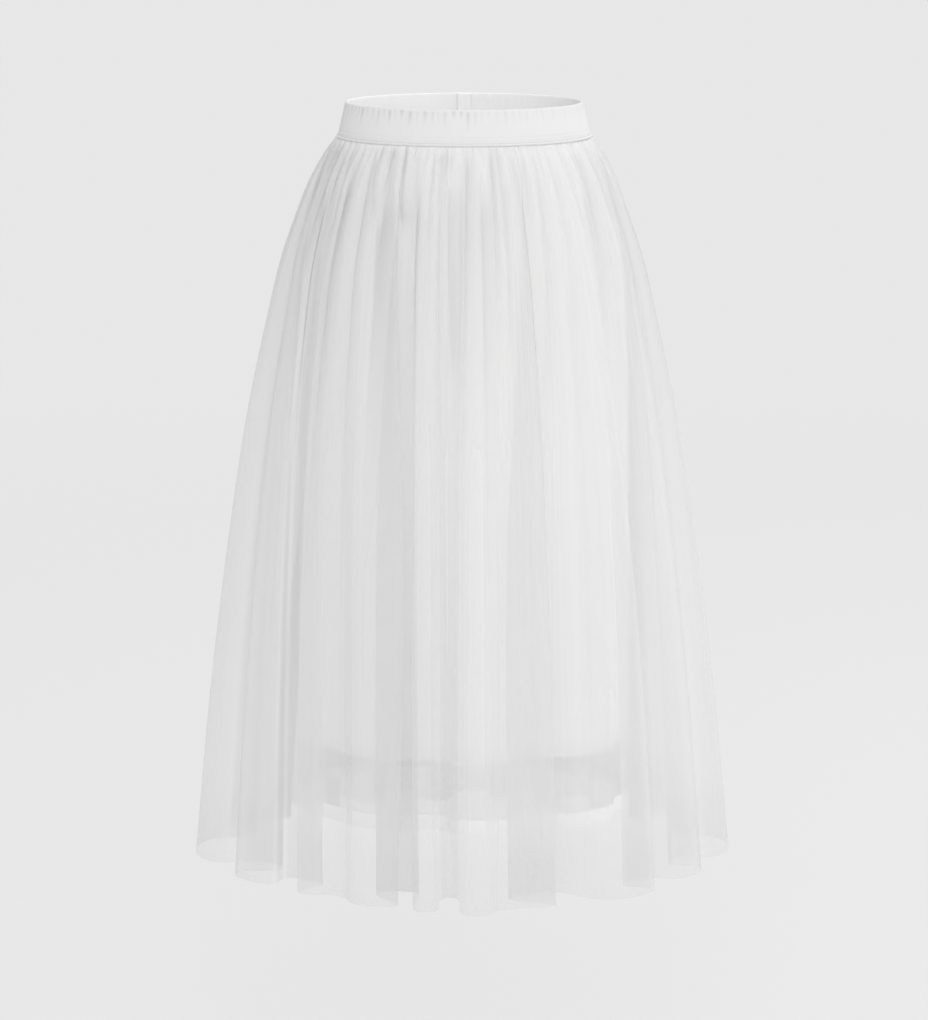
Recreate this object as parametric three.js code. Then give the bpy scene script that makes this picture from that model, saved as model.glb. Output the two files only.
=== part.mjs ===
// A white tulle midi skirt, filled out as when worn, with nobody in it.
// Units are millimetres, +Z is up and the front of the skirt faces -Y.
// The origin is the middle of the waist, half way up the waistband.
//
// Every cloth layer is a thin wall lofted through level rings. A ring is an ellipse that
// grows from the waist to the hem, with a row of folds drawn round it.

import * as THREE from 'three';

// Waistband, with a corded seam under it and a join at the centre back.
const bandTop = 19;
const bandHeight = 33;
const bandWall = 2.2;
const bandTopHalf = { width: 123, depth: 95 };
const bandBottomHalf = { width: 130.5, depth: 101 };
const cordHeight = 4.3;
const cordWall = 4.2;
const cordHalf = { width: 133.4, depth: 103.4 };
const backJoinWidth = 14;
const backJoinWall = 1.2;
const bandSteps = 40;

// Cloth.
const clothWall = 1;
const seamGap = 0.3;
const layerGap = 0.5;
const meshHemHeight = 18;
const meshHemWall = 1.8;

// Hems, measured from the origin.
const liningHem = -656;
const meshHem = -728;
const overlayHem = -780;

const clothTop = bandTop - bandHeight - seamGap - cordHeight - seamGap;
const layerStep = clothWall + layerGap;
const degree = Math.PI / 180;

// Sections of the three layers, a row for each ring. halfWidth and halfDepth are the ellipse
// that the crests of the folds reach. fold is how far the folds have opened, and spread is how
// far they have moved from their places at the waist to their places at the hem, from 0 to 1.
const overlaySections = [
  { z: clothTop, halfWidth: 133.4, halfDepth: 103.4, fold: 0.0, spread: 0.0 },
  { z: -53, halfWidth: 154, halfDepth: 120, fold: 0.12, spread: 0.04 },
  { z: -92, halfWidth: 170, halfDepth: 134, fold: 0.22, spread: 0.1 },
  { z: -139, halfWidth: 186.7, halfDepth: 149, fold: 0.33, spread: 0.18 },
  { z: -210, halfWidth: 204, halfDepth: 165, fold: 0.47, spread: 0.29 },
  { z: -309, halfWidth: 225, halfDepth: 185, fold: 0.62, spread: 0.44 },
  { z: -440, halfWidth: 245.5, halfDepth: 206, fold: 0.78, spread: 0.61 },
  { z: -600, halfWidth: 266, halfDepth: 226, fold: 0.91, spread: 0.81 },
  { z: overlayHem, halfWidth: 283.5, halfDepth: 240, fold: 1.0, spread: 1.0 },
];

const meshSections = [
  { z: clothTop, halfWidth: 133.4 - layerStep, halfDepth: 103.4 - layerStep, fold: 0.0, spread: 0.0 },
  { z: -53, halfWidth: 146, halfDepth: 113, fold: 0.15, spread: 0.1 },
  { z: -92, halfWidth: 157, halfDepth: 123, fold: 0.3, spread: 0.2 },
  { z: -139, halfWidth: 166, halfDepth: 131, fold: 0.45, spread: 0.3 },
  { z: -240, halfWidth: 173, halfDepth: 138, fold: 0.6, spread: 0.5 },
  { z: -420, halfWidth: 177, halfDepth: 143, fold: 0.8, spread: 0.75 },
  { z: meshHem + meshHemHeight, halfWidth: 181, halfDepth: 149, fold: 1.0, spread: 1.0 },
  { z: meshHem, halfWidth: 181, halfDepth: 149, fold: 1.0, spread: 1.0 },
];

const liningSections = [
  { z: clothTop, halfWidth: 133.4 - 2 * layerStep, halfDepth: 103.4 - 2 * layerStep, fold: 0.0, spread: 0.0 },
  { z: -53, halfWidth: 141, halfDepth: 109, fold: 0.1, spread: 0.1 },
  { z: -92, halfWidth: 150.5, halfDepth: 117, fold: 0.3, spread: 0.2 },
  { z: -139, halfWidth: 157, halfDepth: 122, fold: 0.5, spread: 0.3 },
  { z: -240, halfWidth: 162, halfDepth: 127, fold: 0.7, spread: 0.5 },
  { z: -420, halfWidth: 164, halfDepth: 130, fold: 0.9, spread: 0.8 },
  { z: liningHem, halfWidth: 167, halfDepth: 134, fold: 1.0, spread: 1.0 },
];

// Folds, a row for each, going round from just behind the left side, past the front.
// waist and hem are the angles of the valley before the fold, from the front towards +X.
// valley and crest are shares of the section's ellipse. leftTuck and rightTuck steepen the
// fold's two flanks, and turn them under where they are well over 1. bulge swells the crest
// over the valleys, and lean pushes the crest sideways.
const overlayFrontFolds = [
  { waist: -101, hem: -108, valley: 0.84, crest: 1.012, leftTuck: 0.75, rightTuck: 0.9, bulge: 0.35, lean: 0.0 },
  { waist: -76, hem: -65, valley: 0.75, crest: 0.97, leftTuck: 1.2, rightTuck: 0.8, bulge: 0.3, lean: -0.2 },
  { waist: -58, hem: -42, valley: 0.785, crest: 0.955, leftTuck: 1.3, rightTuck: 0.5, bulge: 0.3, lean: -0.1 },
  { waist: -41, hem: -31, valley: 0.91, crest: 1.0, leftTuck: 0.5, rightTuck: 2.6, bulge: 0.2, lean: 0.1 },
  { waist: -20, hem: -13.7, valley: 0.75, crest: 1.05, leftTuck: 1.2, rightTuck: 1.2, bulge: 0.1, lean: 0.1 },
  { waist: -5, hem: -2.7, valley: 0.82, crest: 1.1, leftTuck: 0.9, rightTuck: 0.5, bulge: 0.2, lean: -0.05 },
  { waist: 13, hem: 9.3, valley: 1.005, crest: 1.0, leftTuck: 0.4, rightTuck: 2, bulge: 0.2, lean: 0.1 },
  { waist: 26, hem: 22, valley: 0.79, crest: 1.015, leftTuck: 0.8, rightTuck: 1.1, bulge: 0.35, lean: 0.1 },
  { waist: 53, hem: 48, valley: 0.83, crest: 0.975, leftTuck: 0.85, rightTuck: 1, bulge: 0.35, lean: 0.1 },
  { waist: 75, hem: 71, valley: 0.81, crest: 1.0, leftTuck: 0.85, rightTuck: 0.75, bulge: 0.35, lean: 0.0 },
];

const overlayBackFolds = [
  { waist: 100, hem: 108, valley: 0.84, crest: 1.0, leftTuck: 0.9, rightTuck: 0.9, bulge: 0.4, lean: 0.1 },
  { waist: 116, hem: 126, valley: 0.8, crest: 1.03, leftTuck: 0.9, rightTuck: 0.9, bulge: 0.3, lean: -0.1 },
  { waist: 131, hem: 143, valley: 0.83, crest: 0.98, leftTuck: 0.8, rightTuck: 0.8, bulge: 0.4, lean: 0.15 },
  { waist: 147, hem: 157, valley: 0.79, crest: 1.05, leftTuck: 0.9, rightTuck: 0.9, bulge: 0.3, lean: 0.0 },
  { waist: 163, hem: 171, valley: 0.84, crest: 0.99, leftTuck: 0.8, rightTuck: 0.8, bulge: 0.3, lean: -0.15 },
  { waist: 178, hem: 187, valley: 0.8, crest: 1.04, leftTuck: 0.95, rightTuck: 0.95, bulge: 0.3, lean: 0.1 },
  { waist: 196, hem: 204, valley: 0.82, crest: 1.0, leftTuck: 0.8, rightTuck: 0.8, bulge: 0.4, lean: 0.0 },
  { waist: 213, hem: 219, valley: 0.79, crest: 1.02, leftTuck: 0.9, rightTuck: 0.9, bulge: 0.3, lean: -0.1 },
  { waist: 229, hem: 235, valley: 0.83, crest: 0.98, leftTuck: 0.85, rightTuck: 0.85, bulge: 0.4, lean: 0.1 },
];

const meshFrontFolds = [
  { waist: -100, hem: -102, valley: 0.96, crest: 0.98, leftTuck: 0.4, rightTuck: 0.4, bulge: 0.2, lean: 0.0 },
  { waist: -60, hem: -53, valley: 0.93, crest: 0.97, leftTuck: 0.5, rightTuck: 0.5, bulge: 0.3, lean: 0.0 },
  { waist: -20, hem: -13, valley: 0.88, crest: 1.0, leftTuck: 0.6, rightTuck: 0.6, bulge: 0.2, lean: 0.0 },
  { waist: 24, hem: 26, valley: 0.88, crest: 1.0, leftTuck: 0.6, rightTuck: 0.6, bulge: 0.3, lean: 0.1 },
  { waist: 66, hem: 70, valley: 0.95, crest: 0.98, leftTuck: 0.4, rightTuck: 0.4, bulge: 0.2, lean: 0.0 },
];

const meshBackFolds = [
  { waist: 101, hem: 103, valley: 0.95, crest: 1.0, leftTuck: 0.4, rightTuck: 0.4, bulge: 0.3, lean: 0.1 },
  { waist: 133, hem: 137, valley: 0.93, crest: 1.0, leftTuck: 0.5, rightTuck: 0.5, bulge: 0.3, lean: 0.0 },
  { waist: 166, hem: 168, valley: 0.93, crest: 1.0, leftTuck: 0.5, rightTuck: 0.5, bulge: 0.2, lean: -0.1 },
  { waist: 199, hem: 197, valley: 0.93, crest: 1.0, leftTuck: 0.5, rightTuck: 0.5, bulge: 0.3, lean: 0.1 },
  { waist: 229, hem: 226, valley: 0.95, crest: 1.0, leftTuck: 0.4, rightTuck: 0.4, bulge: 0.3, lean: 0.0 },
];

const liningFrontFolds = [
  { waist: -99, hem: -98, valley: 0.97, crest: 0.99, leftTuck: 0.2, rightTuck: 0.2, bulge: 0.1, lean: 0.0 },
  { waist: -58, hem: -55, valley: 0.94, crest: 0.99, leftTuck: 0.3, rightTuck: 0.3, bulge: 0.2, lean: 0.0 },
  { waist: -16, hem: -12, valley: 0.9, crest: 1.0, leftTuck: 0.4, rightTuck: 0.4, bulge: 0.2, lean: 0.0 },
  { waist: 26, hem: 28, valley: 0.91, crest: 1.0, leftTuck: 0.4, rightTuck: 0.4, bulge: 0.2, lean: 0.1 },
  { waist: 68, hem: 72, valley: 0.95, crest: 0.99, leftTuck: 0.2, rightTuck: 0.2, bulge: 0.2, lean: 0.0 },
];

const liningBackFolds = [
  { waist: 98, hem: 97, valley: 0.97, crest: 1.0, leftTuck: 0.2, rightTuck: 0.2, bulge: 0.2, lean: 0.0 },
  { waist: 128, hem: 131, valley: 0.95, crest: 1.0, leftTuck: 0.3, rightTuck: 0.3, bulge: 0.2, lean: 0.1 },
  { waist: 163, hem: 160, valley: 0.94, crest: 1.0, leftTuck: 0.3, rightTuck: 0.3, bulge: 0.2, lean: 0.0 },
  { waist: 197, hem: 199, valley: 0.95, crest: 1.0, leftTuck: 0.3, rightTuck: 0.3, bulge: 0.2, lean: 0.0 },
  { waist: 233, hem: 231, valley: 0.95, crest: 1.0, leftTuck: 0.3, rightTuck: 0.3, bulge: 0.2, lean: -0.1 },
];

function mix(a, b, t) {
  return a + (b - a) * t;
}

// The place on a level ellipse at an angle from the front, going towards +X.
function onEllipse(halfWidth, halfDepth, angle) {
  return new THREE.Vector2(halfWidth * Math.sin(angle), -halfDepth * Math.cos(angle));
}

// One point of one fold. t goes from 0 at the fold's own valley to 1 at the next one. The
// radius rises to the crest and falls again as a raised cosine, while sines added to the
// angle tuck the two flanks under, swell the crest and lean it.
function foldPoint(section, fold, next, t) {
  const hump = (1 - Math.cos(2 * Math.PI * t)) / 2;
  const valley = mix(fold.valley, next.valley, t * t * (3 - 2 * t));
  const share = 1 + section.fold * (mix(valley, fold.crest, hump) - 1);
  const tuckHere = t < 0.5 ? fold.leftTuck : fold.rightTuck;
  const tuck = tuckHere * Math.sin(4 * Math.PI * t) / (4 * Math.PI);
  const bulge = fold.bulge * Math.sin(2 * Math.PI * t) / (2 * Math.PI);
  const along = t + section.fold * (tuck - bulge + fold.lean * hump);
  const start = mix(fold.waist, fold.hem, section.spread);
  const end = mix(next.waist, next.hem, section.spread);
  const angle = mix(start, end, along) * degree;
  return onEllipse(section.halfWidth * share, section.halfDepth * share, angle);
}

// A layer's whole ring at one section, through every fold in turn.
function foldedRing(section, folds, steps) {
  const ring = [];
  folds.forEach((fold, i) => {
    const next = i + 1 < folds.length ? folds[i + 1] : turnedOn(folds[0]);
    for (let k = 0; k < steps; k++) {
      ring.push(foldPoint(section, fold, next, k / steps));
    }
  });
  return ring;
}

// The same fold one whole turn further on, which closes the row.
function turnedOn(fold) {
  return { ...fold, waist: fold.waist + 360, hem: fold.hem + 360 };
}

// A closed ring moved towards the inside of the skirt, square to its own line.
function movedIn(ring, distance) {
  const count = ring.length;
  return ring.map((point, i) => {
    const along = ring[(i + 1) % count].clone().sub(ring[(i + count - 1) % count]).normalize();
    return new THREE.Vector2(point.x - along.y * distance, point.y + along.x * distance);
  });
}

// The part of a closed ring from one of its points to another, with both ends drawn in by
// half a seam gap.
function cutFrom(ring, first, last) {
  const line = [];
  for (let i = first; i <= last; i++) {
    line.push(ring[i % ring.length].clone());
  }
  const end = line.length - 1;
  const drawIn = (point, towards) => point.add(towards.clone().sub(point).setLength(seamGap / 2));
  drawIn(line[0], line[1]);
  drawIn(line[end], line[end - 1]);
  return line;
}

// A wall between outer and inner lines, one pair for each height, from the top down. An open
// wall is closed along its two side edges, and a ring meets itself.
function wallGeometry(heights, outer, inner, closed) {
  const rows = heights.length;
  const count = outer[0].length;
  const positions = [];
  for (const face of [outer, inner]) {
    face.forEach((line, r) => line.forEach((p) => positions.push(p.x, p.y, heights[r])));
  }
  const at = (face, r, k) => (face * rows + r) * count + (k % count);
  const triangles = [];
  const quad = (a, b, c, d) => triangles.push(a, b, c, a, c, d);
  const spans = closed ? count : count - 1;
  for (let k = 0; k < spans; k++) {
    for (let r = 0; r + 1 < rows; r++) {
      quad(at(0, r, k), at(0, r + 1, k), at(0, r + 1, k + 1), at(0, r, k + 1));
      quad(at(1, r, k), at(1, r, k + 1), at(1, r + 1, k + 1), at(1, r + 1, k));
    }
    quad(at(0, 0, k), at(0, 0, k + 1), at(1, 0, k + 1), at(1, 0, k));
    quad(at(0, rows - 1, k), at(1, rows - 1, k), at(1, rows - 1, k + 1), at(0, rows - 1, k + 1));
  }
  if (!closed) {
    const last = count - 1;
    for (let r = 0; r + 1 < rows; r++) {
      quad(at(0, r, 0), at(1, r, 0), at(1, r + 1, 0), at(0, r + 1, 0));
      quad(at(0, r, last), at(0, r + 1, last), at(1, r + 1, last), at(1, r, last));
    }
  }
  const geometry = new THREE.BufferGeometry();
  geometry.setAttribute('position', new THREE.Float32BufferAttribute(positions, 3));
  geometry.setIndex(triangles);
  geometry.computeVertexNormals();
  return geometry;
}

// The front and back panels of one layer, cut from its rings at the side seams.
function panelGeometries({ sections, front, back, steps, wallAt }) {
  const outer = sections.map((section) => foldedRing(section, [...front, ...back], steps));
  const inner = outer.map((ring, r) => movedIn(ring, wallAt(sections[r])));
  const heights = sections.map((section) => section.z);
  const leftSeam = 0;
  const rightSeam = front.length * steps;
  const wholeTurn = (front.length + back.length) * steps;
  const panel = (first, last) => {
    const cut = (rings) => rings.map((ring) => cutFrom(ring, first, last));
    return wallGeometry(heights, cut(outer), cut(inner), false);
  };
  return { front: panel(leftSeam, rightSeam), back: panel(rightSeam, wholeTurn) };
}

// A closed ring such as the waistband, through elliptical sections.
function ringGeometry(sections, wall) {
  const outer = sections.map(({ half }) => ellipseRing(half));
  const inner = outer.map((ring) => movedIn(ring, wall));
  return wallGeometry(sections.map((section) => section.z), outer, inner, true);
}

function ellipseRing(half) {
  const ring = [];
  for (let k = 0; k < bandSteps; k++) {
    ring.push(onEllipse(half.width, half.depth, k / bandSteps * 2 * Math.PI));
  }
  return ring;
}

// The join's strip, which lies on the flat step of the waistband's inner face at the centre
// back. The band has an even number of steps, so the strip bends once, in its middle.
function backJoinGeometry() {
  const sections = [
    { z: bandTop - seamGap, half: bandTopHalf },
    { z: bandTop - bandHeight + seamGap, half: bandBottomHalf },
  ];
  const middle = bandSteps / 2;
  const strip = (rings) => rings.map((ring) => {
    const centre = ring[middle];
    const end = (neighbour) => neighbour.clone().sub(centre).setLength(backJoinWidth / 2).add(centre);
    return [end(ring[middle - 1]), centre, end(ring[middle + 1])];
  });
  const rings = sections.map(({ half }) => ellipseRing(half));
  const outer = strip(rings.map((ring) => movedIn(ring, bandWall + seamGap)));
  const inner = strip(rings.map((ring) => movedIn(ring, bandWall + seamGap + backJoinWall)));
  return wallGeometry(sections.map((section) => section.z), outer, inner, false);
}

const knitWhite = new THREE.MeshStandardMaterial({ color: 0xf4f4f3, roughness: 0.85, metalness: 0 });
const tulleWhite = new THREE.MeshStandardMaterial({
  color: 0xf1f1f0, roughness: 0.7, metalness: 0, transparent: true, opacity: 0.45,
});
const meshWhite = new THREE.MeshStandardMaterial({
  color: 0xf1f1f0, roughness: 0.75, metalness: 0, transparent: true, opacity: 0.6,
});
const liningWhite = new THREE.MeshStandardMaterial({ color: 0xf6f6f5, roughness: 0.6, metalness: 0 });

const skirt = new THREE.Group();

function addPiece(name, geometry, material) {
  const piece = new THREE.Mesh(geometry, material);
  piece.name = name;
  skirt.add(piece);
}

const bandBottom = bandTop - bandHeight;
const cordTop = bandBottom - seamGap;
addPiece('waistband', ringGeometry([
  { z: bandTop, half: bandTopHalf },
  { z: bandBottom, half: bandBottomHalf },
], bandWall), knitWhite);
addPiece('waist_seam_cord', ringGeometry([
  { z: cordTop, half: cordHalf },
  { z: cordTop - cordHeight, half: cordHalf },
], cordWall), knitWhite);
addPiece('waistband_back_join', backJoinGeometry(), knitWhite);

const evenWall = () => clothWall;
const meshWall = (section) => (section.z <= meshHem + meshHemHeight ? meshHemWall : clothWall);
const layers = [
  {
    name: 'tulle_overlay', material: tulleWhite, sections: overlaySections, steps: 10,
    front: overlayFrontFolds, back: overlayBackFolds, wallAt: evenWall,
  },
  {
    name: 'mesh_underskirt', material: meshWhite, sections: meshSections, steps: 6,
    front: meshFrontFolds, back: meshBackFolds, wallAt: meshWall,
  },
  {
    name: 'lining', material: liningWhite, sections: liningSections, steps: 5,
    front: liningFrontFolds, back: liningBackFolds, wallAt: evenWall,
  },
];
for (const layer of layers) {
  const panels = panelGeometries(layer);
  addPiece(`${layer.name}_front`, panels.front, layer.material);
  addPiece(`${layer.name}_back`, panels.back, layer.material);
}

export default skirt;
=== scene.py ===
import math

import bpy
import numpy as np
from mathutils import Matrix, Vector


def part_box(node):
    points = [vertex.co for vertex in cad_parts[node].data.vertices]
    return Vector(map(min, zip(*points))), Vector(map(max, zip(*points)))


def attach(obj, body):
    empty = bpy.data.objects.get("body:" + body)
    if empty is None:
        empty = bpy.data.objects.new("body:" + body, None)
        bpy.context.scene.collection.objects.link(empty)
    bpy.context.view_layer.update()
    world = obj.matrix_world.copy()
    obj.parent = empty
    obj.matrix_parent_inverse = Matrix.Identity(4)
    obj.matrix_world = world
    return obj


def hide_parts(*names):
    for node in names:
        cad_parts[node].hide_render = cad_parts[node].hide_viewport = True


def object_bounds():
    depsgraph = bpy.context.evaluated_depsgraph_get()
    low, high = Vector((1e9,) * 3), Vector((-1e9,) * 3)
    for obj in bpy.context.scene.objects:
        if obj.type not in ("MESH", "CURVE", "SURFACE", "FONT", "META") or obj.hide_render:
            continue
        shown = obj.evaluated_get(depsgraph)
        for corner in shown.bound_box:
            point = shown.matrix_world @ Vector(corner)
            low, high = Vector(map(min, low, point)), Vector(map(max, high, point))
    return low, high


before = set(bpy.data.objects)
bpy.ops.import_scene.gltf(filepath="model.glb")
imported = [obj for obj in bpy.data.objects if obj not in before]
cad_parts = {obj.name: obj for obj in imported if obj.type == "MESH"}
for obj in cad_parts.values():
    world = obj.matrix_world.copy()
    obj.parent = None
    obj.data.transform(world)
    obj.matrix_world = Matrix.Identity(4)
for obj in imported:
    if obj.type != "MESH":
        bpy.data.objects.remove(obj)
cadBox = [list(corner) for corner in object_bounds()]
print("frame loaded")

# A white tulle skirt, filled out as when worn. Metres, +Z up, and the front faces -Y.
# The cloth is worked out over two coordinates: folds, which counts main folds round the
# skirt from just behind the left side, and drop, the depth below the waist seam.

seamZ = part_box("tulle_overlay_front")[1].z
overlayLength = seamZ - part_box("tulle_overlay_front")[0].z
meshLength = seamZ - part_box("mesh_underskirt_front")[0].z
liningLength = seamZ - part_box("lining_front")[0].z
twoPi = 2 * math.pi


def table(names, *rows):  # named columns, from rows of numbers
    return dict(zip(names.split(), np.array(rows, float).T))


def mix(a, b, t):
    return a + (b - a) * t


def ease(t):  # 0 to 1 with level ends
    t = np.clip(t, 0, 1)
    return t * t * (3 - 2 * t)


# A curve through a table's rows, each stretch a cubic that has the mean slope of its two
# neighbours at its ends, and never more than three times the flatter one.
def through(rows, name, drop):
    x, y = rows["drop"], rows[name]
    rise = np.diff(y) / np.diff(x)
    flatter = np.minimum(np.abs(rise[:-1]), np.abs(rise[1:]))
    inner = np.sign(rise[1:]) * np.minimum(np.abs(rise[:-1] + rise[1:]) / 2, 3 * flatter)
    slope = np.concatenate([rise[:1], np.where(rise[:-1] * rise[1:] > 0, inner, 0), rise[-1:]])
    k = np.clip(np.searchsorted(x, drop, "right") - 1, 0, len(x) - 2)
    step = x[k + 1] - x[k]
    t = np.clip((drop - x[k]) / step, 0, 1)
    low = (1 + 2 * t) * (1 - t) ** 2 * y[k] + t * (1 - t) ** 2 * step * slope[k]
    high = t * t * (3 - 2 * t) * y[k + 1] + t * t * (t - 1) * step * slope[k + 1]
    return low + high


# A mesh over a grid of points, rows x columns x 3. Columns join up when it is closed
# across, and rows when it is closed along. Each pattern is a UV map, rows x columns x 2,
# with one row or column more than the points where they join up.
def gridPiece(name, points, patterns, material, closedAcross=False, closedAlong=False):
    rows, columns = points.shape[:2]
    r, c = np.meshgrid(
        np.arange(rows if closedAlong else rows - 1),
        np.arange(columns if closedAcross else columns - 1), indexing="ij",
    )
    steps = ((0, 0), (1, 0), (1, 1), (0, 1))
    corners = np.stack([(r + i) % rows * columns + (c + j) % columns for i, j in steps], -1)
    faceCount = r.size
    mesh = bpy.data.meshes.new(name)
    mesh.vertices.add(rows * columns)
    mesh.vertices.foreach_set("co", points.astype(np.float32).ravel())
    mesh.loops.add(faceCount * 4)
    mesh.loops.foreach_set("vertex_index", corners.astype(np.int32).ravel())
    mesh.polygons.add(faceCount)
    mesh.polygons.foreach_set("loop_start", np.arange(0, faceCount * 4, 4, dtype=np.int32))
    mesh.polygons.foreach_set("use_smooth", np.ones(faceCount, bool))
    mesh.update(calc_edges=True)
    for patternName, uv in patterns.items():
        layer = mesh.uv_layers.new(name=patternName)
        values = np.stack([uv[r + i, c + j] for i, j in steps], 2)
        layer.data.foreach_set("uv", values.astype(np.float32).ravel())
    mesh.validate()
    piece = bpy.data.objects.new(name, mesh)
    bpy.context.scene.collection.objects.link(piece)
    mesh.materials.append(material)
    return piece


def thicken(piece, thickness):  # gives a sheet its own thickness, on its inner side
    wall = piece.modifiers.new("thickness", "SOLIDIFY")
    wall.thickness = thickness
    wall.offset = -1
    wall.use_rim = True


# One output socket. Python's operators on it add Math nodes.
class Wire:
    def __init__(self, look, socket):
        self.look = look
        self.socket = socket

    def math(self, operation, *inputs):
        return self.look.node("ShaderNodeMath", {"operation": operation}, dict(enumerate(inputs)))

    def __add__(self, other):
        return self.math("ADD", self, other)

    def __sub__(self, other):
        return self.math("SUBTRACT", self, other)

    def __rsub__(self, other):
        return self.math("SUBTRACT", other, self)

    def __mul__(self, other):
        return self.math("MULTIPLY", self, other)

    __radd__ = __add__
    __rmul__ = __mul__

    def cos(self):
        return self.math("COSINE", self)

    def above(self, edge, softness):  # 0 below the edge, 1 above it, with a soft step
        half = softness / 2
        values = {"Value": self, "From Min": edge - half, "From Max": edge + half}
        return self.look.node("ShaderNodeMapRange", {"interpolation_type": "SMOOTHSTEP"}, values)


# One material and its nodes.
class Look:
    def __init__(self, name):
        self.material = bpy.data.materials.new(name)
        self.material.use_nodes = True
        self.tree = self.material.node_tree
        self.tree.nodes.clear()

    # Adds a node, makes its settings first, then fills or links its sockets by name or number.
    def node(self, kind, settings=None, sockets=None, out=0):
        made = self.tree.nodes.new(kind)
        for key, value in (settings or {}).items():
            setattr(made, key, value)
        for key, value in (sockets or {}).items():
            self.fill(made.inputs[key], value)
        return Wire(self, made.outputs[out]) if made.outputs else made

    def fill(self, socket, value):
        if isinstance(value, Wire):
            self.tree.links.new(value.socket, socket)
        else:
            socket.default_value = value

    def uv(self, name):
        return self.node("ShaderNodeUVMap", {"uv_map": name})

    def attribute(self, name):
        return self.node("ShaderNodeAttribute", {"attribute_name": name}, out=2)

    def parts(self, vector):
        made = self.node("ShaderNodeSeparateXYZ", {}, {0: vector})
        return [Wire(self, socket) for socket in made.socket.node.outputs]

    def stretched(self, vector, scale):
        return self.node("ShaderNodeMapping", {}, {"Vector": vector, "Scale": scale})

    def noise(self, vector, scale, detail=2.0):
        values = {"Vector": vector, "Scale": scale, "Detail": detail}
        return self.node("ShaderNodeTexNoise", {}, values)

    def bump(self, height, distance, strength):
        values = {"Height": height, "Distance": distance, "Strength": strength}
        return self.node("ShaderNodeBump", {}, values)

    # A colour between two others. A Mix node has sockets of every kind, and only those of the
    # kind in use are enabled.
    def tinted(self, first, second, amount):
        made = self.node("ShaderNodeMix", {"data_type": "RGBA"}).socket.node
        inputs = [socket for socket in made.inputs if socket.enabled]
        for socket, value in zip(inputs, (amount, first, second)):
            self.fill(socket, value)
        return Wire(self, [socket for socket in made.outputs if socket.enabled][0])

    def blend(self, share, first, second):
        return self.node("ShaderNodeMixShader", {}, {0: share, 1: first, 2: second})

    def finished(self, shader):
        self.node("ShaderNodeOutputMaterial", {}, {"Surface": shader})
        return self.material


def grey(value):  # a colour
    return (value, value, value, 1)


# Net: threads round hexagonal holes, from three cosines 60 degrees apart. Their sum is
# highest in the middle of each hole.
def netThreads(look, settings):
    x, y, _ = look.parts(look.uv("cloth"))
    pace = 2 * twoPi / (math.sqrt(3) * settings["cell"])
    up = y * (pace / 2)
    lean = x * (pace * math.sqrt(3) / 2)
    total = (y * pace).cos() + (lean + up).cos() + (lean - up).cos()
    return 1 - total.above(settings["holeEdge"], settings["holeSoftness"])


# Sheer cloth lets light by between its threads. Its veil attribute says how close they lie.
# A second attribute paints shade into its colour deep in its folds and creases, where its threads
# let less light through. In the tulle it also holds the cloth's own grey, shade painted darker
# towards the hem and a highlight painted on steep flanks, and in the mesh shade painted below
# the lining's hem. No light shines through its threads where its doubled attribute is 1.
def sheerCloth(name, settings):
    look = Look(name)
    veil, paintedShade = look.attribute("veil"), look.attribute("paintedShade")
    share = (netThreads(look, settings) * settings["cover"] + settings["film"]) * veil
    front = look.node("ShaderNodeBsdfPrincipled", {}, {
        "Base Color": look.tinted(grey(settings["white"]), grey(settings["shade"]), paintedShade),
        "Roughness": 0.75, "Specular IOR Level": 0.15,
    })
    behind = look.node("ShaderNodeBsdfTranslucent", {}, {"Color": grey(settings["through"])})
    lit, unlit = settings["translucent"]
    through = (paintedShade * (unlit - lit) + lit) * (1 - look.attribute("doubled"))
    cloth = look.blend(through, front, behind)
    return look.finished(look.blend(share, look.node("ShaderNodeBsdfTransparent"), cloth))


tulleLook = {
    "cell": 0.0009, "holeEdge": 0.3, "holeSoftness": 1.2, "cover": 0.05, "film": 0.28,
    "translucent": (0.42, 0.17), "white": 0.98, "shade": 0.28, "through": 0.78,
}
meshLook = {
    "cell": 0.0008, "holeEdge": 0.8, "holeSoftness": 1.4, "cover": 0.06, "film": 0.42,
    "translucent": (0.3, 0.18), "white": 0.98, "shade": 0.48, "through": 0.98,
}
tulleMaterial = sheerCloth("tulle", tulleLook)
meshMaterial = sheerCloth("soft_mesh", meshLook)


liningLook = {
    "white": (0.97, 0.97, 0.968, 1), "shade": 0.84, "translucent": 0.15,
    "grain": (2600, 900, 1), "grainDepth": 0.00006,
}


# Smooth jersey with fine upright ribs of stitches. Shade is painted into its small creases.
def liningCloth():
    look = Look("lining_knit")
    fine = look.noise(look.stretched(look.uv("cloth"), liningLook["grain"]), 1.0)
    white, shade = liningLook["white"], grey(liningLook["shade"])
    color = look.tinted(white, shade, look.attribute("paintedShade"))
    cloth = look.node("ShaderNodeBsdfPrincipled", {}, {
        "Base Color": color, "Roughness": 0.55, "Sheen Weight": 0.15,
        "Specular IOR Level": 0.35, "Normal": look.bump(fine, liningLook["grainDepth"], 0.6),
    })
    behind = look.node("ShaderNodeBsdfTranslucent", {}, {"Color": white})
    return look.finished(look.blend(liningLook["translucent"], cloth, behind))


# Its greys include that of the shade painted into the puckers and that of the light painted onto
# the inner face.
knitLook = {
    "rib": 0.0011, "ribHeight": 0.35, "row": 0.0014, "rowHeight": 0.15, "patches": (70, 45, 1),
    "depth": 0.00012, "outer": (0.66, 0.69), "puckerShade": 0.48, "inner": 0.88,
}
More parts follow.
